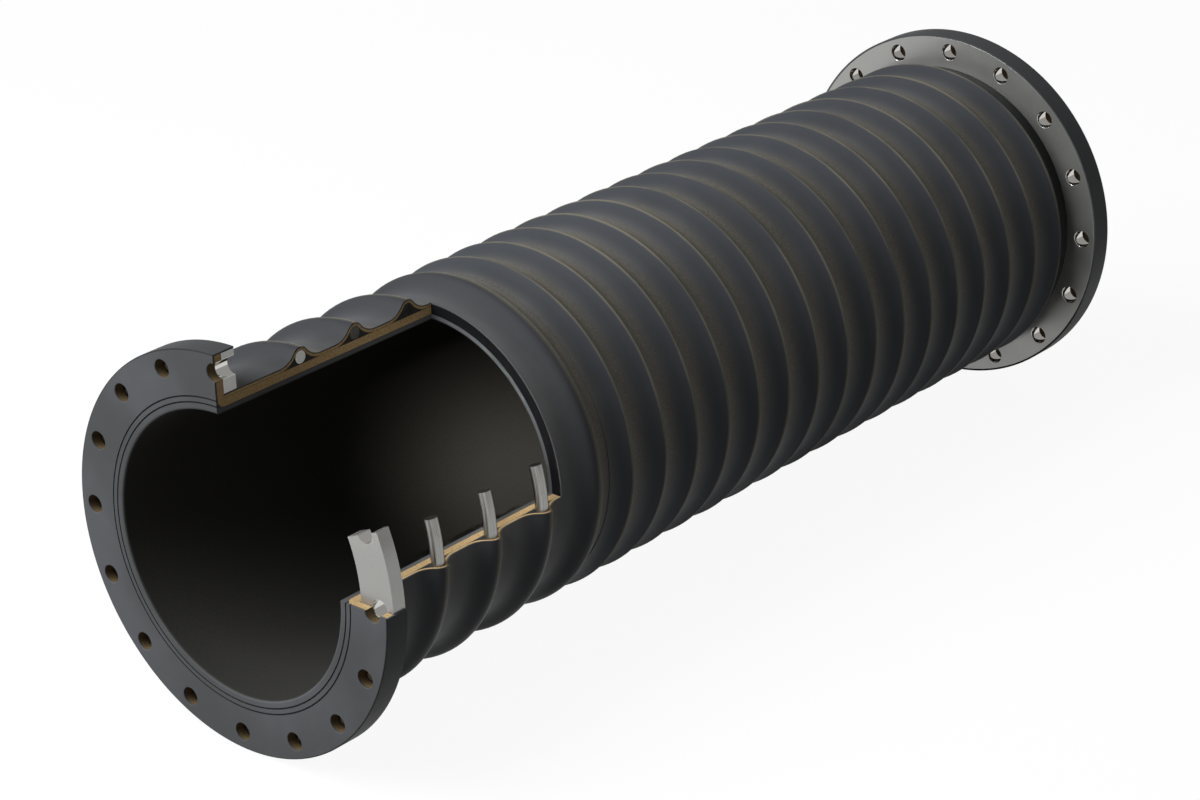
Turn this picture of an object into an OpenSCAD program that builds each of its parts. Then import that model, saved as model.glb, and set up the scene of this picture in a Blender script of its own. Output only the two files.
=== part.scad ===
// Flanged slurry suction hose with a quarter of the wall cut away at its near end.
// The axis runs along X. The origin is the middle of the far flange's sealing face,
// and the hose reaches from there towards -X. Angles turn from +Y (0) through +Z (90).

/* [Hose] */
// Length over both flange faces
hose_length = 1630; // [1300:1:2200]
// Bore of the rubber liner
bore_d = 400; // [380:1:420]
// Thickness of the liner in the tube
liner_wall = 7; // [5:0.5:10]
// Thickness of the textile plies under the wires
inner_ply_wall = 12; // [8:0.5:14]
// Thickness of the textile ply over the wires
outer_ply_wall = 3; // [2:0.5:5]
// Thickness of the cover where it follows the outer ply
cover_wall = 2; // [1.5:0.5:4]

/* [Wire rings] */
// Diameter of the wire
wire_d = 18; // [14:0.5:22]
// Rubber left between a wire and the plies
wire_bed = 0.5; // [0.2:0.1:1]
// Distance from the near face to the first ring
first_ring = 150; // [120:1:170]
// Spacing of the rings in the widely wound stretch
wide_pitch = 100; // [85:1:110]
// Number of widely spaced rings
wide_rings = 4; // [3:1:5]
// Spacing aimed at in the closely wound stretch, where whole rings fill the length
close_pitch_goal = 69; // [62:1:76]
// Distance from the last ring to the far backing ring
last_gap = 39.5; // [36:0.5:50]
// Distance along the hose over which the outer ply comes down beside a wire
drape = 36; // [32:0.5:40]

/* [Ribs of the closely wound stretch] */
// Height of a rib's crest over the outer ply
crest_rise = 3.5; // [3:0.5:6]
// Thickness of the cover midway between two ribs
valley_wall = 9; // [7:0.5:11]
// Radius of a rib's crest
crest_edge = 3; // [1.5:0.5:4]
// Least thickness of the cover on a rib's flank
flank_wall = 1; // [0.5:0.1:2]
// Step where the ribbed cover laps over the smooth cover
lap_step = 1; // [0.5:0.1:2]

/* [Flanges] */
// Distance from the hose neck to the bolt circle
bolt_circle_gap = 33.5; // [30:0.5:40]
// Distance from the bolt circle to the outside of the rim
bolt_edge = 25; // [20:0.5:35]
// Bolt hole
bolt_hole_d = 26; // [20:1:30]
// Number of bolt holes
bolt_holes = 16; // [12:4:20]
// Rubber on the sealing face
face_rubber = 2.5; // [2:0.5:4]
// Rubber over the rim
rim_rubber = 2.5; // [1.5:0.5:4]
// Rounding of the rim's front edge
rim_round = 1.5; // [0.5:0.5:2]
// Thickness of the steel backing ring
backing_t = 22; // [16:1:28]
// Gap between the backing ring's bore and the hose neck
backing_gap = 0.5; // [0.3:0.1:1]
// Chamfer on the backing ring's bore
backing_chamfer = 1; // [0.5:0.5:2]
// Rounding of the bore's mouth
mouth_round = 4; // [2:0.5:5]
// Distance from the bore to the inner sealing groove
inner_groove = 11; // [8:0.5:14]
// Distance between the two sealing grooves
groove_gap = 8; // [5:0.5:12]
// Width of a sealing groove
groove_w = 1.6; // [1:0.2:2.4]
// Depth of a sealing groove
groove_t = 0.8; // [0.4:0.1:1.2]

/* [Cutaway] */
// Length of the removed quarter, from the near face
window_length = 395; // [387:1:405]
// Angle by which the bare wires stand out of the lower cut
wire_stub = 16; // [8:1:24]
// Number of bolt spacings by which the backing ring stands out of the lower cut
backing_stub_steps = 1; // [1:1:2]

/* [Hidden] */
$fn = 120;
wire_facets = 40;
// Points on half a wave, and steps on a rounded corner
half_wave_steps = 12;
corner_steps = 6;
// How far a cutting tool runs past what it cuts
over = 5;

bore_r = bore_d / 2;
ply_r = bore_r + liner_wall;
carcass_r = ply_r + inner_ply_wall;
neck_ply_r = carcass_r + outer_ply_wall;
neck_r = neck_ply_r + cover_wall;

// The bolt circle clears the neck, and the rim lies outside the bolts
bolt_circle_r = neck_r + bolt_circle_gap;
flange_r = bolt_circle_r + bolt_edge;
groove_at = [bore_r + inner_groove, bore_r + inner_groove + groove_gap];

// Each wire lies on the inner plies in its bed of rubber
wire_r = wire_d / 2;
bed_r = wire_r + wire_bed;
ring_r = carcass_r + bed_r;
crest_r = ring_r + bed_r + outer_ply_wall + crest_rise;
valley_r = neck_ply_r + valley_wall;

// Stations along the hose, measured from the nearer flange face
ply_front = face_rubber;
ply_back = ply_front + inner_ply_wall;
backing_back = ply_back + backing_t;
backing_r = flange_r - rim_rubber;
backing_bore_r = neck_r + backing_gap;

// Stations of the rings, measured from the near face
wide_end = first_ring + (wide_rings - 1) * wide_pitch;
close_span = hose_length - backing_back - last_gap - wide_end;
close_rings = max(1, round(close_span / close_pitch_goal));
close_pitch = close_span / close_rings;
ring_count = wide_rings + close_rings;
ring_at = [
    for (i = [0:ring_count - 1])
        i < wide_rings ? first_ring + i * wide_pitch : wide_end + (i - wide_rings + 1) * close_pitch
];

// The removed quarter lies between straight up and straight sideways
cut_up = 90;
cut_side = 180;
hole_step = 360 / bolt_holes;

RING_NAMES = [for (i = [1:ring_count]) str("wire_ring_", i < 10 ? "0" : "", i)];
BEAD_NAMES = [for (i = [1:ring_count]) str("filler_bead_", i < 10 ? "0" : "", i)];

// A ring's reach along the hose, towards the near face and towards the far face
function reach_near(i) = i == 0 ? drape : min(drape, (ring_at[i] - ring_at[i - 1]) / 2);
function reach_far(i) = i == ring_count - 1 ? drape : min(drape, (ring_at[i + 1] - ring_at[i]) / 2);

// Radius of a surface at distance d from a crest. The crest is an arc of radius r1 about
// height c, and the flank is an arc tangent to it and to the valley radius v at reach w.
function hollow_radius(w, v, r1, c) = (w * w + (v - c) * (v - c) - r1 * r1) / (2 * (r1 - v + c));
function wave(d, w, v, r1, c) =
    let (r2 = hollow_radius(w, v, r1, c), turn = atan2(w, v + r2 - c))
    d <= r1 * sin(turn) ? c + sqrt(r1 * r1 - d * d) : v + r2 - sqrt(max(0, r2 * r2 - (w - d) * (w - d)));

// Surfaces over one ring at distance d: over the filler, over the ply and over the cover
function filler_wave(d, w) = wave(d, w, carcass_r, bed_r, ring_r);
function ply_wave(d, w) = wave(d, w, neck_ply_r, bed_r + outer_ply_wall, ring_r);
function smooth_wave(d, w, v) = wave(d, w, v, bed_r + outer_ply_wall + cover_wall, ring_r);
function flank_wave(d, w) = wave(d, w, neck_ply_r + flank_wall, bed_r + outer_ply_wall + flank_wall, ring_r);
function rib_wave(d, w) = max(wave(d, w, valley_r, crest_edge, crest_r - crest_edge), flank_wave(d, w));
function is_rib(i) = i >= wide_rings;
function last_smooth(i) = i == wide_rings - 1;
function cover_wave(i, d, w, far) =
    is_rib(i) ? rib_wave(d, w) : smooth_wave(d, w, far && last_smooth(i) ? valley_r - lap_step : neck_r);

// The same surfaces by name
function layer(name, i, d, w, far) =
    name == "filler" ? filler_wave(d, w) : name == "ply" ? ply_wave(d, w) : cover_wave(i, d, w, far);

// Distances from a crest, closer together near the crest
function spread(w, k) = w * pow(k / half_wave_steps, 2);
function half_near(name, i) = [
    for (k = [half_wave_steps:-1:0])
        let (w = reach_near(i), d = spread(w, k)) [ring_at[i] - d, layer(name, i, d, w, false)]
];
function half_far(name, i) = [
    for (k = [1:half_wave_steps])
        let (w = reach_far(i), d = spread(w, k)) [ring_at[i] + d, layer(name, i, d, w, true)]
];
function ring_wave(name, i) = concat(half_near(name, i), half_far(name, i));

// A layer's surface over all rings, without a point that repeats the one before it
function same(a, b) = norm(a - b) < 0.001;
function all_waves(name) = [for (i = [0:ring_count - 1]) each ring_wave(name, i)];
function over_rings(name) =
    let (p = all_waves(name)) [for (k = [0:len(p) - 1]) if (k == 0 || !same(p[k], p[k - 1])) p[k]];

function reversed(p) = [for (k = [len(p) - 1:-1:0]) p[k]];
function far_side(p) = [for (q = p) [hose_length - q[0], q[1]]];
// An outline given at the near end, closed by its mirror image at the far end
function both_ends(p) = concat(p, reversed(far_side(p)));
function corner(c, r, from, to) = [
    for (k = [0:corner_steps]) let (a = from + (to - from) * k / corner_steps) c + r * [cos(a), sin(a)]
];
function groove(r) = [[0, r - groove_w / 2], [groove_t, r], [0, r + groove_w / 2]];

// The front of the turned-out plies, bent round the neck's corner at their own thickness
function ply_bend(from, to) = corner([ply_back, carcass_r], inner_ply_wall, from, to);

// Outline of the liner at the near end, from the bore over the face and rim to the tube's outside
function liner_end() = concat(
    corner([mouth_round, bore_r + mouth_round], mouth_round, 270, 180),
    [for (r = groove_at) each groove(r)],
    corner([rim_round, flange_r - rim_round], rim_round, 180, 90),
    [[backing_back, flange_r], [backing_back, backing_r], [ply_front, backing_r]],
    ply_bend(180, 270)
);
function inner_ply_end() = concat(
    [[ply_back, carcass_r], [ply_back, backing_r], [ply_front, backing_r]],
    ply_bend(180, 270)
);

// Stands what is drawn about Z on the hose's axis, with stations measured from the near face
module on_axis() {
    translate([-hose_length, 0, 0]) rotate([90, 0, 90]) children();
}

// Turns an outline of [station, radius] points about the axis
module turned(outline) {
    on_axis() rotate_extrude() polygon([for (p = outline) [p[1], p[0]]]);
}

// Solid sector between two angles and two stations, used to cut
module sector(from, to, start, end) {
    far_r = 2 * flange_r;
    mid = (from + to) / 2;
    on_axis() translate([0, 0, start]) linear_extrude(end - start)
        polygon([[0, 0], for (a = [from, mid, to]) far_r * [cos(a), sin(a)]]);
}

module removed_quarter() {
    sector(cut_up, cut_side, -over, window_length);
}

// Bolt holes between two stations
module bolt_holes(start, end) {
    on_axis() for (k = [0:bolt_holes - 1]) rotate(k * hole_step)
        translate([bolt_circle_r, 0, start]) cylinder(d = bolt_hole_d, h = end - start, $fn = wire_facets);
}

module both_bolt_circles() {
    bolt_holes(-over, backing_back + over);
    bolt_holes(hose_length - backing_back - over, hose_length + over);
}

module backing_ring(start, chamfer_start) {
    difference() {
        on_axis() translate([0, 0, start]) difference() {
            cylinder(r = backing_r, h = backing_t);
            translate([0, 0, -over]) cylinder(r = backing_bore_r, h = backing_t + 2 * over);
        }
        turned([
            [chamfer_start - backing_chamfer, backing_bore_r - backing_gap],
            [chamfer_start - backing_chamfer, backing_bore_r],
            [chamfer_start, backing_bore_r + backing_chamfer],
            [chamfer_start + backing_chamfer, backing_bore_r],
            [chamfer_start + backing_chamfer, backing_bore_r - backing_gap]
        ]);
        bolt_holes(start - over, start + backing_t + over);
    }
}

// Inner tube, turned out over both faces and moulded round their rims
module rubber_liner() {
    color("#45453f") difference() {
        turned(both_ends(liner_end()));
        both_bolt_circles();
        removed_quarter();
    }
}

// Textile plies on the liner, turned out between the face rubber and the backing rings
module inner_ply() {
    color("#c2a674") difference() {
        turned(both_ends(inner_ply_end()));
        both_bolt_circles();
        removed_quarter();
    }
}

// Textile ply that holds the wires down
module outer_ply() {
    outside = concat([[ply_back, neck_ply_r]], over_rings("ply"), [[hose_length - ply_back, neck_ply_r]]);
    inside = concat([[ply_back, carcass_r]], over_rings("filler"), [[hose_length - ply_back, carcass_r]]);
    color("#b2976a") difference() {
        turned(concat(outside, reversed(inside)));
        removed_quarter();
    }
}

// Cover, smooth over the widely spaced rings and ribbed over the close ones
module rubber_cover() {
    far_backing = hose_length - backing_back;
    shoulder = [[far_backing, valley_r], [far_backing, neck_r], [hose_length - ply_back, neck_r]];
    outside = concat([[ply_back, neck_r]], over_rings("cover"), shoulder);
    inside = concat([[ply_back, neck_ply_r]], over_rings("ply"), [[hose_length - ply_back, neck_ply_r]]);
    color("#4a4b4c") difference() {
        turned(concat(outside, reversed(inside)));
        removed_quarter();
    }
}

// Steel ring behind the near face, which stands out of the lower cut by whole bolt spacings
module near_backing_ring() {
    color("#a9a79e") difference() {
        backing_ring(ply_back, backing_back);
        sector(cut_up, cut_side - backing_stub_steps * hole_step, -over, window_length);
    }
}

module far_backing_ring() {
    color("#a9a79e") backing_ring(hose_length - backing_back, hose_length - backing_back);
}

// Closed wire ring. In the window its bare end stands out of the lower cut.
module wire_ring(i) {
    color("#85847f") difference() {
        on_axis() translate([0, 0, ring_at[i]]) rotate_extrude()
            translate([ring_r, 0]) circle(r = wire_r, $fn = wire_facets);
        if (ring_at[i] < window_length) sector(cut_up, cut_side - wire_stub, -over, window_length);
    }
}

// Rubber that fills the corners between a wire, the plies under it and the ply over it
module filler_bead(i) {
    color("#2d2d2b") difference() {
        turned(ring_wave("filler", i));
        on_axis() translate([0, 0, ring_at[i]]) rotate_extrude()
            translate([ring_r, 0]) circle(r = wire_r, $fn = wire_facets);
        removed_quarter();
    }
}

rubber_liner();
inner_ply();
outer_ply();
rubber_cover();
near_backing_ring();
far_backing_ring();
for (i = [0:ring_count - 1]) {
    wire_ring(i);
    filler_bead(i);
}
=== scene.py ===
import math

import bmesh
import bpy
from mathutils import Matrix, Vector


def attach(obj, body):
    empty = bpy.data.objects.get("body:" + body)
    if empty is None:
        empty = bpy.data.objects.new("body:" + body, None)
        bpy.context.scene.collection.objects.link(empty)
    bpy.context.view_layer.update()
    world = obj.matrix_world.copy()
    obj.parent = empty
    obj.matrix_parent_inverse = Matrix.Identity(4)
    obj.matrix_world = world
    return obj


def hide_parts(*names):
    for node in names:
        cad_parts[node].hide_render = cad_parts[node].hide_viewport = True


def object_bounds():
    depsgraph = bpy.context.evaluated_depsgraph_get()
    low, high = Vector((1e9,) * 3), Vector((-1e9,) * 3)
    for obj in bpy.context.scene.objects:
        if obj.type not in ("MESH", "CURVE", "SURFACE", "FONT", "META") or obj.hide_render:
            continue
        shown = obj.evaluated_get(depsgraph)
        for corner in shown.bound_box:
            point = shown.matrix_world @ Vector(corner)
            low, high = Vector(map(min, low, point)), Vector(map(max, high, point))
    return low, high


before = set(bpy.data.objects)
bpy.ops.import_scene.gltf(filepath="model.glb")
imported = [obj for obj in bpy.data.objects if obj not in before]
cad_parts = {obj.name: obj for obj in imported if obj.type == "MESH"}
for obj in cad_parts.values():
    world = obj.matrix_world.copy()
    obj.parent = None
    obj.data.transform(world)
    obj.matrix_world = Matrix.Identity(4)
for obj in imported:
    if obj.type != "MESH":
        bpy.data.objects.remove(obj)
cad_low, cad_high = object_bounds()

MM = 0.001


# The rubber liner is the tube that the slurry runs through. It is one vulcanised piece with the rubber
# of both sealing faces and of both rims. Each face has two fine grooves moulded round the bore.
hose_length = cad_high.x - cad_low.x
bore_r = 200 * MM
liner_wall = 7 * MM
ply_wall = 12 * MM
face_rubber = 2.5 * MM
rim_rubber = 2.5 * MM
inner_groove = 11 * MM
outer_groove = 19 * MM
groove_w = 1.6 * MM
backing_t = 22 * MM
rim_r = cad_high.y
ply_back = face_rubber + ply_wall
backing_back = ply_back + backing_t
carcass_r = bore_r + liner_wall + ply_wall
backing_r = rim_r - rim_rubber


def arc(centre, radius, start, end, steps):
    """Points on an arc in the outline plane, which holds stations and radii. Angles are in degrees."""
    turns = [math.radians(start + (end - start) * k / steps) for k in range(steps + 1)]
    return [(centre[0] + radius * math.cos(t), centre[1] + radius * math.sin(t)) for t in turns]


def groove(radius):
    """A rounded sealing groove in the face, at this radius."""
    depth, half, floor = 0.8 * MM, groove_w / 2, groove_w / 5
    return [(0, radius - half), (depth, radius - floor), (depth, radius + floor), (0, radius + half)]


def both_ends(points):
    """Closes an outline given at the near end with its mirror image at the far end."""
    return points + [(hose_length - s, r) for s, r in reversed(points)]


def liner_outline():
    mouth_round, rim_round, corner_steps = 4 * MM, 1.5 * MM, 8
    mouth = arc((mouth_round, bore_r + mouth_round), mouth_round, 270, 180, corner_steps)
    grooves = groove(bore_r + inner_groove) + groove(bore_r + outer_groove)
    rim = arc((rim_round, rim_r - rim_round), rim_round, 180, 90, corner_steps)
    back = [(backing_back, rim_r), (backing_back, backing_r), (face_rubber, backing_r)]
    bend = arc((ply_back, carcass_r), ply_wall, 180, 270, corner_steps)
    return both_ends(mouth + grooves + rim + back + bend)


def add(tree, kind, links=None, **settings):
    """Adds a node, sets its properties, and sets or links its inputs."""
    node = tree.nodes.new(kind)
    for name, value in settings.items():
        setattr(node, name, value)
    for socket, value in (links or {}).items():
        if isinstance(value, bpy.types.NodeSocket):
            tree.links.new(value, node.inputs[socket])
        else:
            node.inputs[socket].default_value = value
    return node


def new_tree(name, kind, inputs, outputs):
    """An empty node group with named sockets, and its input and output nodes."""
    tree = bpy.data.node_groups.new(name, kind)
    for socket, socket_kind in inputs.items():
        tree.interface.new_socket(socket, in_out="INPUT", socket_type=socket_kind)
    for socket, socket_kind in outputs.items():
        tree.interface.new_socket(socket, in_out="OUTPUT", socket_type=socket_kind)
    return tree, tree.nodes.new("NodeGroupInput").outputs, tree.nodes.new("NodeGroupOutput").inputs


def calculate(tree, operation, a, b=0.0, c=0.0):
    return add(tree, "ShaderNodeMath", {0: a, 1: b, 2: c}, operation=operation).outputs[0]


def hypotenuse(tree, a, b):
    square = calculate(tree, "ADD", calculate(tree, "POWER", a, 2), calculate(tree, "POWER", b, 2))
    return calculate(tree, "SQRT", square)


GEOMETRY, WHOLE, FLOAT = "NodeSocketGeometry", "NodeSocketInt", "NodeSocketFloat"
MATERIAL, OBJECT, VECTOR = "NodeSocketMaterial", "NodeSocketObject", "NodeSocketVector"


def turned_layer_tree():
    """Turns a closed outline of stations and radii about the hose's axis."""
    weld = 0.01 * MM
    tree, given, out = new_tree(
        "turned_layer",
        "GeometryNodeTree",
        {"Outline": GEOMETRY, "Steps Round": WHOLE},
        {"Solid": GEOMETRY},
    )
    count = add(tree, "GeometryNodeAttributeDomainSize", {"Geometry": given["Outline"]}, component="MESH")
    count = count.outputs["Point Count"]
    steps = given["Steps Round"]
    grid = add(
        tree,
        "GeometryNodeMeshGrid",
        {
            "Size X": 1.0,
            "Size Y": 1.0,
            "Vertices X": calculate(tree, "ADD", count, 1),
            "Vertices Y": calculate(tree, "ADD", steps, 1),
        },
    )
    place = add(tree, "GeometryNodeInputPosition").outputs["Position"]
    across = add(tree, "ShaderNodeSeparateXYZ", {"Vector": place}).outputs
    column = calculate(tree, "MULTIPLY", calculate(tree, "ADD", across["X"], 0.5), count)
    index = calculate(tree, "MODULO", calculate(tree, "ROUND", column), count)
    point = add(
        tree,
        "GeometryNodeSampleIndex",
        {"Geometry": given["Outline"], "Index": index},
        data_type="FLOAT_VECTOR",
        domain="POINT",
    )
    tree.links.new(place, point.inputs["Value"])
    point = add(tree, "ShaderNodeSeparateXYZ", {"Vector": point.outputs["Value"]}).outputs
    step = calculate(tree, "DIVIDE", math.tau, steps)
    turn = calculate(tree, "MULTIPLY_ADD", across["Y"], math.tau, calculate(tree, "MULTIPLY", step, 0.5))
    placed = add(
        tree,
        "ShaderNodeCombineXYZ",
        {
            "X": point["X"],
            "Y": calculate(tree, "MULTIPLY", point["Z"], calculate(tree, "COSINE", turn)),
            "Z": calculate(tree, "MULTIPLY", point["Z"], calculate(tree, "SINE", turn)),
        },
    )
    links = {"Geometry": grid.outputs["Mesh"], "Position": placed.outputs[0]}
    moved = add(tree, "GeometryNodeSetPosition", links)
    closed = add(tree, "GeometryNodeMergeByDistance", {"Geometry": moved.outputs[0], "Distance": weld})
    tree.links.new(closed.outputs[0], out["Solid"])
    return tree


def take_out(tree, solid, tool):
    """Takes a tool's mesh out of a solid."""
    cut = add(tree, "GeometryNodeMeshBoolean", {"Mesh 1": solid}, operation="DIFFERENCE", solver="EXACT")
    tree.links.new(tool, cut.inputs["Mesh 2"])
    return cut.outputs["Mesh"]


def drilled_tree():
    """Drills a circle of holes round the axis, each with the shape of the drill."""
    tree, given, out = new_tree(
        "drilled",
        "GeometryNodeTree",
        {"Solid": GEOMETRY, "Drill": OBJECT, "Hole Count": WHOLE, "Bolt Circle Radius": FLOAT},
        {"Solid": GEOMETRY},
    )
    drill = add(tree, "GeometryNodeObjectInfo", {"Object": given["Drill"]}).outputs["Geometry"]
    links = {"Vertices": given["Hole Count"], "Radius": given["Bolt Circle Radius"]}
    circle = add(tree, "GeometryNodeMeshCircle", links)
    links = {"Geometry": circle.outputs["Mesh"], "Rotation": (0, math.pi / 2, 0)}
    upright = add(tree, "GeometryNodeTransform", links)
    drills = add(tree, "GeometryNodeInstanceOnPoints", {"Points": upright.outputs[0], "Instance": drill})
    holes = add(tree, "GeometryNodeRealizeInstances", {"Geometry": drills.outputs["Instances"]})
    tree.links.new(take_out(tree, given["Solid"], holes.outputs[0]), out["Solid"])
    return tree


def finished_mesh(tree, geometry, material):
    """Makes instances real and gives the mesh its material."""
    real = add(tree, "GeometryNodeRealizeInstances", {"Geometry": geometry}).outputs[0]
    return add(tree, "GeometryNodeSetMaterial", {"Geometry": real, "Material": material}).outputs[0]


def cut_away_tree():
    """Takes a tool's shape out of a solid, and gives the part its material."""
    tree, given, out = new_tree(
        "cut_away",
        "GeometryNodeTree",
        {"Solid": GEOMETRY, "Tool": OBJECT, "Material": MATERIAL},
        {"Part": GEOMETRY},
    )
    tool = add(tree, "GeometryNodeObjectInfo", {"Object": given["Tool"]}).outputs["Geometry"]
    cut = take_out(tree, given["Solid"], tool)
    tree.links.new(finished_mesh(tree, cut, given["Material"]), out["Part"])
    return tree


def apply_tree(item, tree, **values):
    """Adds a Geometry Nodes modifier and sets its inputs by their identifiers."""
    modifier = item.modifiers.new(tree.name, "NODES")
    modifier.node_group = tree
    sockets = {s.name: s.identifier for s in tree.interface.items_tree if s.in_out == "INPUT"}
    for name, value in values.items():
        modifier[sockets[name.replace("_", " ")]] = value


def to_mesh(item, crease=32):
    """Turns the evaluated piece into a plain mesh, whose edges over the crease angle are sharp."""
    weld, sliver = 0.002 * MM, 0.001 * MM
    evaluated = item.evaluated_get(bpy.context.evaluated_depsgraph_get())
    mesh = bpy.data.meshes.new_from_object(evaluated)
    item.modifiers.clear()
    item.data = mesh
    shape = bmesh.new()
    shape.from_mesh(mesh)
    bmesh.ops.remove_doubles(shape, verts=shape.verts, dist=weld)
    bmesh.ops.dissolve_degenerate(shape, edges=shape.edges, dist=sliver)
    bmesh.ops.recalc_face_normals(shape, faces=shape.faces)
    shape.to_mesh(mesh)
    shape.free()
    mesh.shade_smooth()
    mesh.set_sharp_from_angle(angle=math.radians(crease))
    return item


def new_item(name, data):
    """An object in the scene that holds a mesh, a light or a camera."""
    item = bpy.data.objects.new(name, data)
    bpy.context.collection.objects.link(item)
    return item


def outline_item(name, points):
    """An object that holds an outline as a loop of points, with stations counted from the near face."""
    mesh = bpy.data.meshes.new(name)
    edges = [(k, (k + 1) % len(points)) for k in range(len(points))]
    mesh.from_pydata([(cad_low.x + s, 0, r) for s, r in points], edges, [])
    return new_item(name, mesh)


def sector_tool(name, start_angle, end_angle, start, end):
    """A wedge between two angles and two stations, which cuts the window's sides."""
    reach = 2 * rim_r
    angles = [math.radians(a) for a in (start_angle, (start_angle + end_angle) / 2, end_angle)]
    corners = [(0.0, 0.0)] + [(reach * math.cos(a), reach * math.sin(a)) for a in angles]
    shape = bmesh.new()
    foot = [shape.verts.new((cad_low.x + start, y, z)) for y, z in corners]
    top = [shape.verts.new((cad_low.x + end, y, z)) for y, z in corners]
    shape.faces.new(foot)
    shape.faces.new(reversed(top))
    for k in range(len(corners)):
        after = (k + 1) % len(corners)
        shape.faces.new((foot[k], top[k], top[after], foot[after]))
    bmesh.ops.recalc_face_normals(shape, faces=shape.faces)
    mesh = bpy.data.meshes.new(name)
    shape.to_mesh(mesh)
    shape.free()
    return new_item(name, mesh)


def hose_coordinates_tree():
    """Station from the near face, angle round the axis and radius of a point."""
    tree, given, out = new_tree(
        "hose_coordinates",
        "ShaderNodeTree",
        {"Point": VECTOR, "Near Face": FLOAT},
        {"Station": FLOAT, "Round": FLOAT, "Radius": FLOAT},
    )
    at = add(tree, "ShaderNodeSeparateXYZ", {"Vector": given["Point"]}).outputs
    tree.links.new(calculate(tree, "SUBTRACT", at["X"], given["Near Face"]), out["Station"])
    tree.links.new(calculate(tree, "ARCTAN2", at["Z"], at["Y"]), out["Round"])
    tree.links.new(hypotenuse(tree, at["Y"], at["Z"]), out["Radius"])
    return tree


def noise(tree, point, scale, detail):
    links = {"Vector": point, "Scale": scale, "Detail": detail}
    return add(tree, "ShaderNodeTexNoise", links).outputs[0]


def moulded_grain_tree():
    """Fine moulded grain and a slow unevenness as a height for bump, and clouding as a mask."""
    tree, given, out = new_tree(
        "moulded_grain",
        "ShaderNodeTree",
        {"Point": VECTOR, "Grain Size": FLOAT, "Unevenness": FLOAT},
        {"Height": FLOAT, "Clouds": FLOAT, "Specks": FLOAT},
    )
    scale = calculate(tree, "DIVIDE", 1.0, given["Grain Size"])
    pit_scale = calculate(tree, "MULTIPLY", scale, 0.3)
    links = {"Vector": given["Point"], "Scale": pit_scale}
    pits = add(tree, "ShaderNodeTexVoronoi", links).outputs["Distance"]
    height = calculate(tree, "MULTIPLY_ADD", pits, 0.3, noise(tree, given["Point"], scale, 3.0))
    slow = noise(tree, given["Point"], 11.0, 1.0)
    height = calculate(tree, "MULTIPLY_ADD", slow, given["Unevenness"], height)
    clouds = noise(tree, given["Point"], 6.0, 5.0)
    specks = noise(tree, given["Point"], 400.0, 4.0)
    tree.links.new(height, out["Height"])
    tree.links.new(clouds, out["Clouds"])
    tree.links.new(specks, out["Specks"])
    return tree


def place_group(tree, group, links):
    return add(tree, "ShaderNodeGroup", links, node_tree=group).outputs


def new_finish(name, **fixed):
    """A material with its Principled shader's fixed sockets set, and its Object coordinates."""
    material = bpy.data.materials.new(name)
    material.use_nodes = True
    tree = material.node_tree
    shader = tree.nodes["Principled BSDF"]
    for socket, value in fixed.items():
        shader.inputs[socket.replace("_", " ")].default_value = value
    point = tree.nodes.new("ShaderNodeTexCoord").outputs["Object"]
    return material, tree, shader.inputs, point


def mix(tree, factor, a, b):
    return add(tree, "ShaderNodeMix", {0: factor, 6: a, 7: b}, data_type="RGBA").outputs[2]


def ramp(tree, value, low, high, to_low=0.0, to_high=1.0):
    """A value carried smoothly from one range to another."""
    links = {"Value": value, "From Min": low, "From Max": high, "To Min": to_low, "To Max": to_high}
    return add(tree, "ShaderNodeMapRange", links, interpolation_type="SMOOTHSTEP").outputs["Result"]


def bump(tree, height, strength, distance):
    links = {"Height": height, "Strength": strength, "Distance": distance}
    return add(tree, "ShaderNodeBump", links).outputs["Normal"]


def on_hose(tree, point):
    """Places the station, angle and radius of a finish's point."""
    return place_group(tree, hose_coordinates, {"Point": point, "Near Face": cad_low.x})


hose_coordinates = hose_coordinates_tree()
moulded_grain = moulded_grain_tree()


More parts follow.
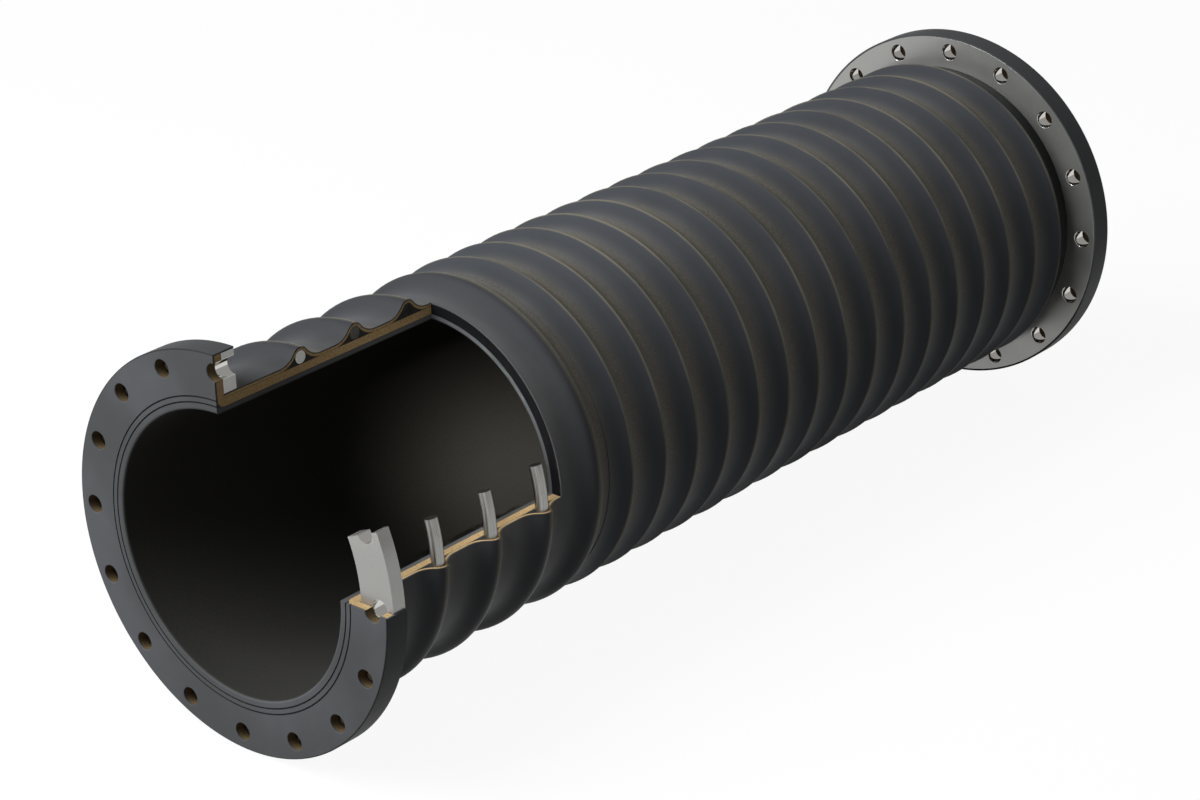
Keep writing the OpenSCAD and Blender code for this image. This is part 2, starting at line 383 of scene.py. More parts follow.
def liner_rubber():
    material, tree, shader, point = new_finish("liner_rubber", Specular_IOR_Level=0.1)
    links = {"Point": point, "Grain Size": 0.9 * MM, "Unevenness": 2.0}
    grain = place_group(tree, moulded_grain, links)
    at = on_hose(tree, point)
    dark, light = (0.07, 0.073, 0.076, 1), (0.098, 0.102, 0.11, 1)
    bore_shade_dark, bore_shade_light = (0.021, 0.0207, 0.019, 1), (0.04, 0.0388, 0.035, 1)
    rim_shade, groove_shade_and_edge_line = (0.04, 0.041, 0.041, 1), (0.012, 0.012, 0.013, 1)
    moulded = mix(tree, ramp(tree, grain["Clouds"], 0.35, 0.65), dark, light)
    # The bore is painted much darker than the face of the same rubber, as painted shade inside the tube
    tone_with_shade = mix(tree, grain["Specks"], bore_shade_dark, bore_shade_light)
    in_bore = ramp(tree, at["Radius"], bore_r + 2 * MM, bore_r + 0.5 * MM)
    # The rim is painted darker than the face of the same rubber, as painted shade
    outside = ramp(tree, at["Radius"], rim_r - 0.4 * MM, rim_r - 0.1 * MM, 0.0, 0.6)
    tone = mix(tree, outside, mix(tree, in_bore, moulded, tone_with_shade), rim_shade)
    # Painted shade in the sealing grooves, and a dark line painted round the face's edge
    groove_shade_width, edge_line_width = 0.7 * groove_w, 0.8 * MM
    in_grooves = 0.0
    for groove_r in (bore_r + inner_groove, bore_r + outer_groove):
        in_groove = calculate(tree, "COMPARE", at["Radius"], groove_r, groove_shade_width)
        in_grooves = calculate(tree, "MAXIMUM", in_groove, in_grooves)
    at_edge = calculate(tree, "COMPARE", at["Radius"], rim_r - 0.9 * MM, edge_line_width)
    at_face = calculate(tree, "LESS_THAN", at["Station"], 1.4 * MM)
    round_edge = calculate(tree, "MULTIPLY", calculate(tree, "MULTIPLY", at_edge, at_face), 0.75)
    groove_shade_and_edge_mask = calculate(tree, "MAXIMUM", in_grooves, round_edge)
    tree.links.new(mix(tree, groove_shade_and_edge_mask, tone, groove_shade_and_edge_line), shader["Base Color"])
    tree.links.new(ramp(tree, grain["Clouds"], 0.3, 0.7, 0.5, 0.64), shader["Roughness"])
    tree.links.new(bump(tree, grain["Height"], 0.45, 0.22 * MM), shader["Normal"])
    return material


turned_layer = turned_layer_tree()
drilled = drilled_tree()
cut_away = cut_away_tree()
window_end = 395 * MM
before_face = -10 * MM
bolt_circle_r = 257.5 * MM
bolt_hole_r = 13 * MM
bolt_holes = 16
window_tool = sector_tool("window_tool", 90, 180, before_face, window_end)


def drill_outline():
    """Half of a drill as long as the hose, wider where it breaks the holes' edges."""
    face_edge, steel_edge = 0.5 * MM, 0.8 * MM
    near = [
        (before_face, 0),
        (before_face, bolt_hole_r + face_edge),
        (0, bolt_hole_r + face_edge),
        (face_edge, bolt_hole_r),
        (backing_back - steel_edge, bolt_hole_r),
        (backing_back, bolt_hole_r + steel_edge),
    ]
    return both_ends(near)


drill = outline_item("drill", drill_outline())
apply_tree(drill, turned_layer, Steps_Round=40)
to_mesh(drill)
bolt_drilling = {"Drill": drill, "Hole_Count": bolt_holes, "Bolt_Circle_Radius": bolt_circle_r}

liner = outline_item("rubber_liner_moulding", liner_outline())
apply_tree(liner, turned_layer, Steps_Round=180)
apply_tree(liner, drilled, **bolt_drilling)
apply_tree(liner, cut_away, Tool=window_tool, Material=liner_rubber())
to_mesh(liner)
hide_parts("rubber_liner")
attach(liner, "root")


# The inner plies are rubberised textile, laid on the liner in many layers and turned out behind the face
# rubber. Their cut edges show the cords of each layer as fine dark and light lines.
def ply_depth_tree():
    """Depth inside the inner plies from the liner's side, in the tube, round the bend and in the flange."""
    tree, given, out = new_tree(
        "ply_depth",
        "ShaderNodeTree",
        {
            "Station": FLOAT,
            "Radius": FLOAT,
            "Hose Length": FLOAT,
            "Bend Station": FLOAT,
            "Bend Radius": FLOAT,
            "Wall": FLOAT,
        },
        {"Depth": FLOAT},
    )
    mirrored = calculate(tree, "SUBTRACT", given["Hose Length"], given["Station"])
    from_face = calculate(tree, "MINIMUM", given["Station"], mirrored)
    ahead = calculate(tree, "SUBTRACT", given["Bend Station"], from_face)
    under = calculate(tree, "SUBTRACT", given["Bend Radius"], given["Radius"])
    ahead = calculate(tree, "MAXIMUM", ahead, 0.0)
    under = calculate(tree, "MAXIMUM", under, 0.0)
    depth = calculate(tree, "SUBTRACT", given["Wall"], hypotenuse(tree, ahead, under))
    tree.links.new(depth, out["Depth"])
    return tree


def textile_cords_tree():
    """Cord ends and frayed fibres in a cut through textile plies: a height and a mask."""
    tree, given, out = new_tree(
        "textile_cords",
        "ShaderNodeTree",
        {"Point": VECTOR, "Cord Size": FLOAT},
        {"Height": FLOAT, "Mask": FLOAT},
    )
    scale = calculate(tree, "DIVIDE", 1.0, given["Cord Size"])
    links = {"Vector": given["Point"], "Scale": scale}
    cords = add(tree, "ShaderNodeTexVoronoi", links).outputs["Distance"]
    fibres = noise(tree, given["Point"], calculate(tree, "MULTIPLY", scale, 3.0), 3.0)
    rounded = ramp(tree, cords, 0.0, 0.75, 1.0, 0.0)
    height = calculate(tree, "MULTIPLY_ADD", fibres, 0.5, rounded)
    tree.links.new(height, out["Height"])
    tree.links.new(ramp(tree, height, 0.35, 1.2), out["Mask"])
    return tree


def bolt_hole_walls_tree():
    """A mask of the bolt holes' walls, from the distance to the nearest hole's axis."""
    tree, given, out = new_tree(
        "bolt_hole_walls",
        "ShaderNodeTree",
        {"Round": FLOAT, "Radius": FLOAT, "Hole Count": FLOAT, "Circle Radius": FLOAT, "Reach": FLOAT},
        {"Mask": FLOAT},
    )
    half_step = calculate(tree, "DIVIDE", math.pi, given["Hole Count"])
    turn = calculate(tree, "PINGPONG", given["Round"], half_step)
    along = calculate(tree, "MULTIPLY", given["Radius"], calculate(tree, "COSINE", turn))
    along = calculate(tree, "SUBTRACT", along, given["Circle Radius"])
    aside = calculate(tree, "MULTIPLY", given["Radius"], calculate(tree, "SINE", turn))
    inside = calculate(tree, "LESS_THAN", hypotenuse(tree, along, aside), given["Reach"])
    tree.links.new(inside, out["Mask"])
    return tree


def hole_walls(tree, at):
    """Places the mask of the bolt holes' walls in a material."""
    links = {
        "Round": at["Round"],
        "Radius": at["Radius"],
        "Hole Count": bolt_holes,
        "Circle Radius": bolt_circle_r,
        "Reach": bolt_hole_r + 0.3 * MM,
    }
    return place_group(tree, bolt_hole_walls, links)["Mask"]


def textile_ply(name, layer_wall, layer_count):
    """The finish of a stack of plies. Several layers show as fine lines."""
    material, tree, shader, point = new_finish(name, Specular_IOR_Level=0.12, Roughness=0.9)
    at = on_hose(tree, point)
    cords = place_group(tree, textile_cords, {"Point": point, "Cord Size": 1.2 * MM})
    gap_tan, cord_tan = (0.42, 0.285, 0.135, 1), (0.74, 0.545, 0.295, 1)
    between_layers, hole_wall_shade = (0.05, 0.036, 0.02, 1), (0.05, 0.035, 0.018, 1)
    end_cut_black = (0.004, 0.004, 0.005, 1)
    tone = mix(tree, cords["Mask"], gap_tan, cord_tan)
    height = cords["Height"]
    if layer_count > 1:
        links = {
            "Station": at["Station"],
            "Radius": at["Radius"],
            "Hose Length": hose_length,
            "Bend Station": ply_back,
            "Bend Radius": carcass_r,
            "Wall": ply_wall,
        }
        depth = place_group(tree, ply_depth, links)["Depth"]
        layer = layer_wall / layer_count
        nearest = calculate(tree, "PINGPONG", depth, layer / 2)
        gap = ramp(tree, nearest, 0.0, 0.3 * MM, 0.45, 0.0)
        outer_side = ramp(tree, depth, layer_wall - 0.8 * MM, layer_wall - 0.2 * MM)
        inner_side = ramp(tree, depth, 0.8 * MM, 0.2 * MM)
        edges = calculate(tree, "MAXIMUM", calculate(tree, "MAXIMUM", outer_side, inner_side), gap)
        tone = mix(tree, edges, tone, between_layers)
        height = calculate(tree, "SUBTRACT", height, edges)
    # Painted shade darkens the bolt holes' walls
    drilled_wall = calculate(tree, "MULTIPLY", hole_walls(tree, at), 0.82)
    tone = mix(tree, drilled_wall, tone, hole_wall_shade)
    # The cut across the hose at the window's far end is painted nearly black
    at_end_cut = calculate(tree, "COMPARE", at["Station"], window_end, 0.4 * MM)
    tree.links.new(mix(tree, at_end_cut, tone, end_cut_black), shader["Base Color"])
    tree.links.new(bump(tree, height, 0.7, 0.3 * MM), shader["Normal"])
    return material


def finish_node(name, material):
    """Gives a CAD node its material."""
    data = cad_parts[name].data
    data.materials.clear()
    data.materials.append(material)


ply_depth = ply_depth_tree()
textile_cords = textile_cords_tree()
bolt_hole_walls = bolt_hole_walls_tree()
finish_node("inner_ply", textile_ply("inner_plies", ply_wall, 8))


# The wire rings are closed rings of drawn steel wire, set round the plies. The first three are bare in the
# window, where each one's cut end stands up out of the lower cut.
def ring_stations():
    first, wide, close = 150 * MM, 100 * MM, 69 * MM
    wide_stations = [first + k * wide for k in range(wide_rings)]
    return wide_stations + [wide_stations[-1] + (k + 1) * close for k in range(close_rings)]


def wire_rings_tree():
    """Sets a ring of wire at each point, open where the point lies in the window."""
    wire_sides, ring_steps = 24, 128
    tree, given, out = new_tree(
        "wire_rings",
        "GeometryNodeTree",
        {
            "Stations": GEOMETRY,
            "Ring Radius": FLOAT,
            "Wire Radius": FLOAT,
            "Window End": FLOAT,
            "Start Angle": FLOAT,
            "Open Sweep": FLOAT,
            "Material": MATERIAL,
        },
        {"Rings": GEOMETRY},
    )
    links = {"Resolution": wire_sides, "Radius": given["Wire Radius"]}
    profile = add(tree, "GeometryNodeCurvePrimitiveCircle", links)
    links = {"Resolution": ring_steps, "Radius": given["Ring Radius"]}
    full = add(tree, "GeometryNodeCurvePrimitiveCircle", links)
    part = add(
        tree,
        "GeometryNodeCurveArc",
        {
            "Resolution": ring_steps,
            "Radius": given["Ring Radius"],
            "Start Angle": given["Start Angle"],
            "Sweep Angle": given["Open Sweep"],
        },
    )
    place = add(tree, "ShaderNodeSeparateXYZ", {"Vector": add(tree, "GeometryNodeInputPosition").outputs[0]})
    in_window = calculate(tree, "LESS_THAN", place.outputs["X"], given["Window End"])
    beyond = calculate(tree, "SUBTRACT", 1.0, in_window)
    both = add(tree, "GeometryNodeJoinGeometry")
    for path, chosen in ((full, beyond), (part, in_window)):
        swept = add(
            tree,
            "GeometryNodeCurveToMesh",
            {"Curve": path.outputs["Curve"], "Profile Curve": profile.outputs["Curve"], "Fill Caps": True},
        )
        rings = add(
            tree,
            "GeometryNodeInstanceOnPoints",
            {
                "Points": given["Stations"],
                "Instance": swept.outputs["Mesh"],
                "Selection": chosen,
                "Rotation": (math.pi / 2, 0, math.pi / 2),
            },
        )
        tree.links.new(rings.outputs[0], both.inputs[0])
    tree.links.new(finished_mesh(tree, both.outputs[0], given["Material"]), out["Rings"])
    return tree


def drawn_lines_tree():
    """Fine lines that a drawing die leaves along the wire."""
    tree, given, out = new_tree(
        "drawn_lines",
        "ShaderNodeTree",
        {"Station": FLOAT, "Round": FLOAT, "Radius": FLOAT, "Line Width": FLOAT},
        {"Lines": FLOAT},
    )
    scale = calculate(tree, "DIVIDE", 1.0, given["Line Width"])
    across = {
        "X": calculate(tree, "MULTIPLY", given["Station"], scale),
        "Y": calculate(tree, "MULTIPLY", given["Round"], 8.0),
        "Z": calculate(tree, "MULTIPLY", given["Radius"], scale),
    }
    place = add(tree, "ShaderNodeCombineXYZ", across).outputs[0]
    tree.links.new(noise(tree, place, 1.0, 4.0), out["Lines"])
    return tree


def wire_steel():
    material, tree, shader, point = new_finish("wire_steel", Metallic=1.0)
    at = on_hose(tree, point)
    links = {"Station": at["Station"], "Round": at["Round"], "Radius": at["Radius"], "Line Width": 0.8 * MM}
    lines = place_group(tree, drawn_lines, links)["Lines"]
    dark, light, dark_end_tone = (0.25, 0.25, 0.24, 1), (0.34, 0.34, 0.326, 1), (0.045, 0.043, 0.04, 1)
    tone = mix(tree, ramp(tree, lines, 0.3, 0.7), dark, light)
    # The second and third wires' ends in the upper cut are painted nearly black
    on_cut = calculate(tree, "COMPARE", calculate(tree, "COSINE", at["Round"]), 0.0, 0.002)
    further = calculate(tree, "GREATER_THAN", at["Station"], ring_at[0] + 2 * wire_r)
    darkened_ends = calculate(tree, "MULTIPLY", calculate(tree, "MULTIPLY", on_cut, further), 0.85)
    tree.links.new(mix(tree, darkened_ends, tone, dark_end_tone), shader["Base Color"])
    tree.links.new(ramp(tree, lines, 0.3, 0.7, 0.26, 0.4), shader["Roughness"])
    tree.links.new(bump(tree, lines, 0.25, 0.05 * MM), shader["Normal"])
    return material


drawn_lines = drawn_lines_tree()
wire_r = 9 * MM
wire_bed = 0.5 * MM
ring_r = carcass_r + wire_bed + wire_r
wide_rings = 4
close_rings = 16
ring_at = ring_stations()
wire_stub = math.radians(16)

stations = bpy.data.meshes.new("wire_rings")
stations.from_pydata([(cad_low.x + s, 0, 0) for s in ring_at], [], [])
wires = new_item("wire_rings", stations)
apply_tree(
    wires,
    wire_rings_tree(),
    Ring_Radius=ring_r,
    Wire_Radius=wire_r,
    Window_End=cad_low.x + window_end,
    Start_Angle=math.pi - wire_stub,
    Open_Sweep=1.5 * math.pi + wire_stub,
    Material=wire_steel(),
)
to_mesh(wires, 50)
ring_nodes = [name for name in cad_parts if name.startswith("wire_ring")]
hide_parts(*ring_nodes)
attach(wires, "root")


# Filler rubber closes the corners beside each wire, between the plies under it and the ply over it.
# It is soft and black, and shows only as dark triangles in the cut faces.
def filler_rubber():
    material, tree, shader, point = new_finish("filler_rubber", Specular_IOR_Level=0.1)
    grain = place_group(tree, moulded_grain, {"Point": point, "Grain Size": 0.8 * MM, "Unevenness": 1.0})
    dark, light = (0.022, 0.022, 0.021, 1), (0.04, 0.04, 0.037, 1)
    tree.links.new(mix(tree, ramp(tree, grain["Clouds"], 0.3, 0.7), dark, light), shader["Base Color"])
    tree.links.new(ramp(tree, grain["Specks"], 0.4, 0.8, 0.5, 0.7), shader["Roughness"])
    tree.links.new(bump(tree, grain["Height"], 0.4, 0.2 * MM), shader["Normal"])
    return material


filler_finish = filler_rubber()
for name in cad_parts:
    if name.startswith("filler_bead"):
        finish_node(name, filler_finish)


# The outer ply is one thin textile layer. It is drawn over the wires and pressed down to the inner plies
# between them, so its cut edge runs as a wavy tan line.
outer_ply_wall = 3 * MM
finish_node("outer_ply", textile_ply("outer_ply_layer", outer_ply_wall, 1))


# The cover is the black rubber on the outside. It is smooth over the widely spaced rings near the window,
# and it has a rib with a narrow crest over each closely spaced ring.
cover_wall = 2 * MM
neck_ply_r = carcass_r + outer_ply_wall
neck_r = neck_ply_r + cover_wall
valley_r = neck_ply_r + 9 * MM
crest_rise = 3.5 * MM
crest_r = ring_r + wire_r + wire_bed + outer_ply_wall + crest_rise


def wave(distance, reach, valley, crest_round, centre):
    """Radius at a distance from a crest: an arc over it, then one tangent to it and to the valley."""
    drop = valley - centre
    hollow = (reach**2 + drop**2 - crest_round**2) / (2 * (crest_round - drop))
    turn = math.atan2(reach, drop + hollow)
    if distance <= crest_round * math.sin(turn):
        return centre + math.sqrt(crest_round**2 - distance**2)
    return valley + hollow - math.sqrt(max(0.0, hollow**2 - (reach - distance) ** 2))


def cover_radius(number, distance, reach, beyond):
    """The cover's radius beside one ring."""
    bed = wire_r + wire_bed + outer_ply_wall
    if number >= wide_rings:
        crest_edge, flank_wall = 3 * MM, 1 * MM
        rib = wave(distance, reach, valley_r, crest_edge, crest_r - crest_edge)
        return max(rib, wave(distance, reach, neck_ply_r + flank_wall, bed + flank_wall, ring_r))
    lap_step = 1 * MM
    valley = valley_r - lap_step if beyond and number == wide_rings - 1 else neck_r
    return wave(distance, reach, valley, bed + cover_wall, ring_r)


def ply_radius(number, distance, reach, beyond):
    return wave(distance, reach, neck_ply_r, wire_r + wire_bed + outer_ply_wall, ring_r)


def waves(radius, steps):
    """A layer's outline over all rings, with points closer together near each crest."""
    drape, same_point = 36 * MM, 0.01 * MM
    points = []
    for number, station in enumerate(ring_at):
        before = drape if number == 0 else min(drape, (station - ring_at[number - 1]) / 2)
        last = number == len(ring_at) - 1
        after = drape if last else min(drape, (ring_at[number + 1] - station) / 2)
        near_side = [before * (k / steps) ** 2 for k in range(steps, -1, -1)]
        far_side = [after * (k / steps) ** 2 for k in range(1, steps + 1)]
        fresh = [(station - d, radius(number, d, before, False)) for d in near_side]
        fresh += [(station + d, radius(number, d, after, True)) for d in far_side]
        if points and math.dist(points[-1], fresh[0]) < same_point:
            fresh = fresh[1:]
        points += fresh
    return points


def cover_outline():
    far_backing, far_ply_back = hose_length - backing_back, hose_length - ply_back
    outside = [(ply_back, neck_r)] + waves(cover_radius, 12)
    outside += [(far_backing, valley_r), (far_backing, neck_r), (far_ply_back, neck_r)]
    inside = [(ply_back, neck_ply_r)] + waves(ply_radius, 6) + [(far_ply_back, neck_ply_r)]
    return outside + inside[::-1]


def rib_wear_tree():
    """Masks for the wear line on each crest, the dust and painted light behind it, and the painted shade
    before it.
    """
    tree, given, out = new_tree(
        "rib_wear",
        "ShaderNodeTree",
        {
            "Station": FLOAT,
            "First Rib": FLOAT,
            "Pitch": FLOAT,
            "Warp": FLOAT,
            "Line Width": FLOAT,
            "Dust Width": FLOAT,
        },
        {"Line": FLOAT, "Dust And Light": FLOAT, "Shade Before": FLOAT},
    )
    from_first = calculate(tree, "SUBTRACT", given["Station"], given["First Rib"])
    ribs_on = calculate(tree, "DIVIDE", from_first, given["Pitch"])
    part = calculate(tree, "FRACT", calculate(tree, "ADD", ribs_on, 0.5))
    part = calculate(tree, "SUBTRACT", part, 0.5)
    beyond = calculate(tree, "MULTIPLY_ADD", part, given["Pitch"], given["Warp"])
    distance = calculate(tree, "ABSOLUTE", beyond)
    # Dust and painted light start behind a crest and thin out towards the next one
    past = calculate(tree, "MULTIPLY_ADD", calculate(tree, "FRACT", ribs_on), given["Pitch"], given["Warp"])
    hollow = calculate(tree, "MULTIPLY", given["Pitch"], -0.5)
    thinning = calculate(tree, "MULTIPLY", given["Dust Width"], 0.35)
    ribbed = calculate(tree, "GREATER_THAN", ribs_on, -0.5)
    inner = calculate(tree, "MULTIPLY", given["Line Width"], 0.35)
    line = ramp(tree, distance, inner, given["Line Width"], 1.0, 0.0)
    dust_and_light = ramp(tree, past, thinning, given["Dust Width"], 1.0, 0.0)
    dust_and_light = calculate(tree, "MULTIPLY", dust_and_light, ramp(tree, past, -1 * MM, 4 * MM))
    # Painted shade rises from the valley towards each crest
    nearing = ramp(tree, beyond, hollow, -10 * MM)
    before = calculate(tree, "MULTIPLY", nearing, ramp(tree, beyond, -1 * MM, 5 * MM, 1.0, 0.0))
    tree.links.new(calculate(tree, "MULTIPLY", before, ribbed), out["Shade Before"])
    tree.links.new(calculate(tree, "MULTIPLY", line, ribbed), out["Line"])
    tree.links.new(calculate(tree, "MULTIPLY", dust_and_light, ribbed), out["Dust And Light"])
    return tree


def cover_rubber():
    material, tree, shader, point = new_finish("cover_rubber", Specular_IOR_Level=0.1)
    links = {"Point": point, "Grain Size": 1.0 * MM, "Unevenness": 6.0}
    grain = place_group(tree, moulded_grain, links)
    at = on_hose(tree, point)
    dark, light = (0.068, 0.07, 0.072, 1), (0.1, 0.102, 0.107, 1)
    shade_before_rib, shade_before_wave = (0.04, 0.044, 0.051, 1), (0.027, 0.029, 0.033, 1)
    dust_and_light, crest_line = (0.25, 0.226, 0.174, 1), (0.205, 0.185, 0.138, 1)
    gap_shade = (0.013, 0.013, 0.014, 1)
    tone = mix(tree, ramp(tree, grain["Clouds"], 0.35, 0.65), dark, light)
    warp = calculate(tree, "MULTIPLY", calculate(tree, "SUBTRACT", grain["Clouds"], 0.5), 4 * MM)
    links = {
        "Station": at["Station"],
        "First Rib": ring_at[wide_rings],
        "Pitch": ring_at[wide_rings + 1] - ring_at[wide_rings],
        "Warp": warp,
        "Line Width": 3.2 * MM,
        "Dust Width": 46 * MM,
    }
    ribs = place_group(tree, rib_wear, links)
    links["First Rib"] = ring_at[0]
    links["Pitch"] = ring_at[1] - ring_at[0]
    smooth_waves = place_group(tree, rib_wear, links)
    smooth_end = ring_at[wide_rings] - 34 * MM
    smooth = calculate(tree, "LESS_THAN", at["Station"], smooth_end)
    on_waves = calculate(tree, "SUBTRACT", 1.0, smooth)

    def wear(mask):
        """A mask of the ribs, and of the smooth waves before them."""
        near = calculate(tree, "MULTIPLY", smooth_waves[mask], smooth)
        return calculate(tree, "MULTIPLY_ADD", ribs[mask], on_waves, near)

    # Painted shade darkens each flank that rises towards a crest
    shade_before_crest = mix(tree, smooth, shade_before_rib, shade_before_wave)
    tone = mix(tree, calculate(tree, "MULTIPLY", wear("Shade Before"), 0.8), tone, shade_before_crest)
    # Dust, painted lighter as light on the flanks behind the crests, lies in specks and thickest on the upper
    # side
    speckled = calculate(tree, "MULTIPLY", wear("Dust And Light"), ramp(tree, grain["Specks"], 0.35, 0.7, 0.3, 1.0))
    facing_up = ramp(tree, calculate(tree, "SINE", at["Round"]), -0.4, 0.6, 0.4, 0.95)
    dusted_and_lit = mix(tree, calculate(tree, "MULTIPLY", speckled, facing_up), tone, dust_and_light)
    # The smooth waves have only a faint line each
    share = calculate(tree, "MULTIPLY_ADD", smooth, -0.6, 1.0)
    line = calculate(tree, "MULTIPLY", wear("Line"), ramp(tree, grain["Clouds"], 0.3, 0.6, 0.25, 0.65))
    line = calculate(tree, "MULTIPLY", line, share)
    tone_with_shade = mix(tree, line, dusted_and_lit, crest_line)
    # Painted shade: the rubber is nearly black in the gap between the last rib and the far backing ring
    in_gap = ramp(tree, at["Station"], ring_at[-1] + 5 * MM, ring_at[-1] + 14 * MM)
    tree.links.new(mix(tree, in_gap, tone_with_shade, gap_shade), shader["Base Color"])
    tree.links.new(ramp(tree, grain["Clouds"], 0.3, 0.7, 0.46, 0.62), shader["Roughness"])
    tree.links.new(bump(tree, grain["Height"], 0.45, 0.25 * MM), shader["Normal"])
    return material


rib_wear = rib_wear_tree()
cover = outline_item("rubber_cover_skin", cover_outline())
apply_tree(cover, turned_layer, Steps_Round=112)
apply_tree(cover, cut_away, Tool=window_tool, Material=cover_rubber())
to_mesh(cover)
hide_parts("rubber_cover")
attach(cover, "root")


# Each backing ring is machined steel. It lies behind the turned-out plies, takes the bolts' load and is
# held by the rubber moulded over its rim. The near one stands out of the lower cut by one bolt spacing.
def turning_marks_tree():
    """Fine rings that a lathe leaves on a faced surface, and slow clouding of the polish."""
    tree, given, out = new_tree(
        "turning_marks",
        "ShaderNodeTree",
        {"Point": VECTOR, "Radius": FLOAT, "Mark Width": FLOAT},
        {"Marks": FLOAT, "Clouds": FLOAT},
    )
    marks_out = calculate(tree, "DIVIDE", given["Radius"], given["Mark Width"])
    place = add(tree, "ShaderNodeCombineXYZ", {"X": marks_out}).outputs[0]
    tree.links.new(noise(tree, place, 1.0, 3.0), out["Marks"])
    tree.links.new(noise(tree, given["Point"], 14.0, 5.0), out["Clouds"])
    return tree


def backing_steel():
    material, tree, shader, point = new_finish("backing_steel")
    at = on_hose(tree, point)
    links = {"Point": point, "Radius": at["Radius"], "Mark Width": 0.7 * MM}
    turned = place_group(tree, turning_marks, links)
    dark, light = (0.33, 0.329, 0.317, 1), (0.4, 0.399, 0.385, 1)
    shaded_wall, bright_wall = (0.1, 0.08, 0.055, 1), (0.62, 0.61, 0.58, 1)
    tone = mix(tree, ramp(tree, turned["Marks"], 0.3, 0.7), dark, light)
    drilled_wall = hole_walls(tree, at)
    # The near ring's holes are painted dark inside as shade, apart from those that the window opens
    in_window = calculate(tree, "SINE", calculate(tree, "SUBTRACT", at["Round"], math.pi / 4))
    unshaded = calculate(tree, "GREATER_THAN", in_window, 0.6)
    unshaded = calculate(tree, "MAXIMUM", unshaded, calculate(tree, "GREATER_THAN", at["Station"], hose_length / 2))
    wall_tone = mix(tree, unshaded, shaded_wall, bright_wall)
    tree.links.new(mix(tree, drilled_wall, tone, wall_tone), shader["Base Color"])
    # Unshaded holes' walls are bright metal and the turned faces are duller
    face_metal, added_metal = 0.64, 0.34
    bright = calculate(tree, "MULTIPLY", drilled_wall, unshaded)
    tree.links.new(calculate(tree, "MULTIPLY_ADD", bright, added_metal, face_metal), shader["Metallic"])
    rough = ramp(tree, turned["Clouds"], 0.3, 0.7, 0.26, 0.38)
    rough = calculate(tree, "MULTIPLY", rough, calculate(tree, "MULTIPLY_ADD", drilled_wall, -0.85, 1.0))
    tree.links.new(rough, shader["Roughness"])
    tree.links.new(bump(tree, turned["Marks"], 0.2, 0.02 * MM), shader["Normal"])
    return material


turning_marks = turning_marks_tree()


def backing_outline(front, back):
    bore, edge = neck_r + 0.5 * MM, 0.6 * MM
    chamfer = math.copysign(1 * MM, back - front)
    break_edge = math.copysign(edge, back - front)
    return [
        (front, bore),
        (back - chamfer, bore),
        (back, bore + abs(chamfer)),
        (back, backing_r - edge),
        (back - break_edge, backing_r),
        (front, backing_r),
    ]


steel_finish = backing_steel()
hole_step = 360 / bolt_holes
stub_tool = sector_tool("stub_tool", 90, 180 - hole_step, before_face, window_end)
backing_rings = {
    "near_backing_ring": (ply_back, backing_back),
    "far_backing_ring": (hose_length - ply_back, hose_length - backing_back),
}
for node, (front, back) in backing_rings.items():
    ring = outline_item(node + "_machined", backing_outline(front, back))
    apply_tree(ring, turned_layer, Steps_Round=180)
    apply_tree(ring, drilled, **bolt_drilling)
    apply_tree(ring, cut_away, Tool=stub_tool, Material=steel_finish)
    to_mesh(ring)
    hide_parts(node)
    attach(ring, "root")

for tool in (window_tool, stub_tool, drill):
    bpy.data.objects.remove(tool)


# The studio: a pale floor under the hose, a soft key light from above the near end and a small one that
# shines in through the window. The camera stands at the photograph's viewing angle, fitted to the
# centres of the bolt holes.
def studio_floor():
    """White to the camera and in reflections, and dark to light that bounces on to the hose."""
    reach, gap = 40, 2 * MM
    floor_z = cad_low.z - gap
    white_level, white_share = 1.01, 0.92
    bounce_tone, seen_tone = (0.13, 0.125, 0.115, 1), (0.9, 0.9, 0.9, 1)
    mesh = bpy.data.meshes.new("studio_floor")
    corners = [(-reach, -reach), (reach, -reach), (reach, reach), (-reach, reach)]
    mesh.from_pydata([(x, y, floor_z) for x, y in corners], [], [(0, 1, 2, 3)])
    floor = new_item("studio_floor", mesh)
    material, tree, shader, point = new_finish("pale_floor", Roughness=1.0, Specular_IOR_Level=0.0)
    seen = add(tree, "ShaderNodeLightPath").outputs
    tree.links.new(mix(tree, seen["Is Camera Ray"], bounce_tone, seen_tone), shader["Base Color"])
    white = add(tree, "ShaderNodeEmission", {"Color": (1, 1, 1, 1), "Strength": white_level}).outputs[0]
    direct = calculate(tree, "MAXIMUM", seen["Is Camera Ray"], seen["Is Glossy Ray"])
    share = calculate(tree, "MULTIPLY", direct, white_share)
    output = tree.nodes["Material Output"].inputs["Surface"]
    lit = output.links[0].from_socket
    blend = add(tree, "ShaderNodeMixShader", {0: share})
    tree.links.new(lit, blend.inputs[1])
    tree.links.new(white, blend.inputs[2])
    tree.links.new(blend.outputs[0], output)
    mesh.materials.append(material)


def studio_world():
    world = bpy.data.worlds.new("studio")
    bpy.context.scene.world = world
    world.use_nodes = True
    tree = world.node_tree
    seen = add(tree, "ShaderNodeLightPath").outputs
    # White to the camera, paler in reflections and a plain level as light
    as_light, reflected = 0.2, 0.42
    strength = calculate(tree, "MULTIPLY_ADD", seen["Is Glossy Ray"], reflected - as_light, as_light)
    strength = calculate(tree, "MULTIPLY_ADD", seen["Is Camera Ray"], 1 - as_light, strength)
    tree.nodes["Background"].inputs["Color"].default_value = (1, 1, 1, 1)
    tree.links.new(strength, tree.nodes["Background"].inputs["Strength"])


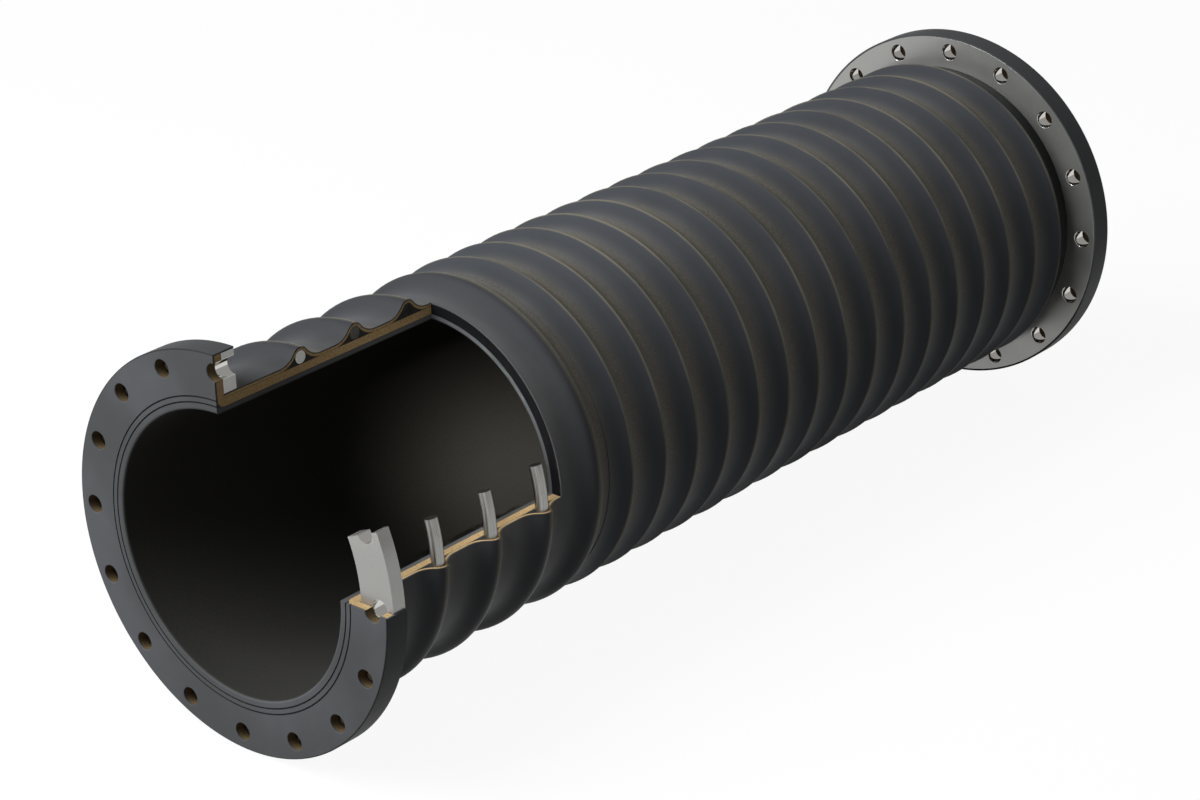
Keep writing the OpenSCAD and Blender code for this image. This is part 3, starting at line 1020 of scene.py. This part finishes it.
def disk_light(name, width, watts, colour, aim, away, distance):
    """A soft round light at a distance from what it is aimed at."""
    data = bpy.data.lights.new(name, "AREA")
    data.shape = "DISK"
    data.size = width
    data.energy = watts
    data.color = colour
    light = new_item(name, data)
    light.location = aim + away * distance
    light.rotation_mode = "QUATERNION"
    light.rotation_quaternion = (-away).to_track_quat("-Z", "Y")
    return data


def key_light():
    """A wide soft light from above and from the near end."""
    aim = Vector((cad_low.x + 0.33, 0, 0))
    away = Vector((-0.62, 0.355, 0.697))
    white = (0.98, 0.99, 1.0)
    disk_light("key_light", width=5.8, watts=616, colour=white, aim=aim, away=away, distance=6.2)


def window_light():
    """A small soft light that shines down through the window into the bore."""
    aim = Vector((cad_low.x + 0.73, 0.12, -0.17))
    away = Vector((-0.79, -0.4, 0.46)).normalized()
    warm = (1.0, 0.97, 0.91)
    data = disk_light("window_light", width=0.16, watts=0.38, colour=warm, aim=aim, away=away, distance=1.6)
    data.spread = math.radians(14)


def photo_camera():
    azimuth, elevation, roll = math.radians(-48.65), math.radians(23.96), math.radians(-1.72)
    # Where the near face's centre lies in the camera's own frame, in bolt circle radii
    seen_at = Vector((-1.855, -0.784, -16.592)) * bolt_circle_r
    lens_px, frame_px = 3322, 1200
    back = Vector(
        (
            math.sin(azimuth) * math.cos(elevation),
            -math.cos(azimuth) * math.cos(elevation),
            math.sin(elevation),
        )
    )
    level = Vector((math.cos(azimuth), math.sin(azimuth), 0))
    upright = back.cross(level)
    right = math.cos(roll) * level + math.sin(roll) * upright
    up = math.cos(roll) * upright - math.sin(roll) * level
    turn = Matrix((right, up, back)).transposed()
    data = bpy.data.cameras.new("photo_camera")
    data.sensor_width = 36
    data.lens = lens_px / frame_px * data.sensor_width
    data.clip_end = 100
    camera = new_item("photo_camera", data)
    camera.matrix_world = Matrix.Translation(Vector((cad_low.x, 0, 0)) - turn @ seen_at) @ turn.to_4x4()
    bpy.context.scene.camera = camera


studio_floor()
studio_world()
key_light()
window_light()
photo_camera()
bpy.context.scene.view_settings.view_transform = "Standard"
